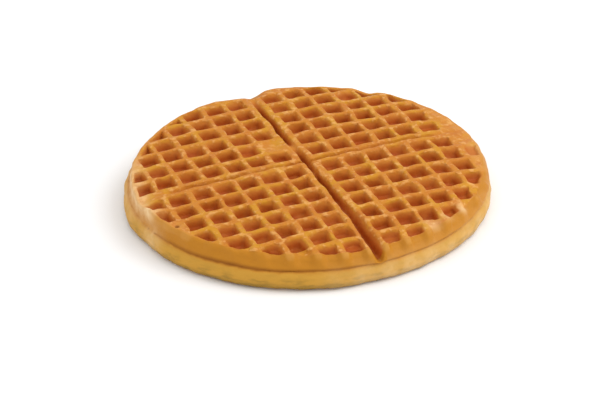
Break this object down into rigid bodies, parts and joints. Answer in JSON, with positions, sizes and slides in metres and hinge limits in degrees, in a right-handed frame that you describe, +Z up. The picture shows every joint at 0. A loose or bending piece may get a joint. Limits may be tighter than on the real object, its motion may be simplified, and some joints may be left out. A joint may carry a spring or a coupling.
{
  "type": "waffle",
  "caption": "Round baked waffle, whole, with a grid of square pockets in its top and underside, crossing grooves to break it along, and a seam round its rim.",
  "frame": {"origin": "on the surface the waffle lies on, under the middle of its box", "axes": "+Z up out of the top face, +X along the shallow groove to the right, +Y along the deep groove away from the near side"},
  "size_m": [0.1784, 0.1776, 0.0196],
  "materials": {
    "waffle_crust": "golden brown baked batter crust, slightly glossy on the ribs"
  },
  "bodies": {
    "root": {"waffle": "waffle_crust"}
  },
  "joints": []
}
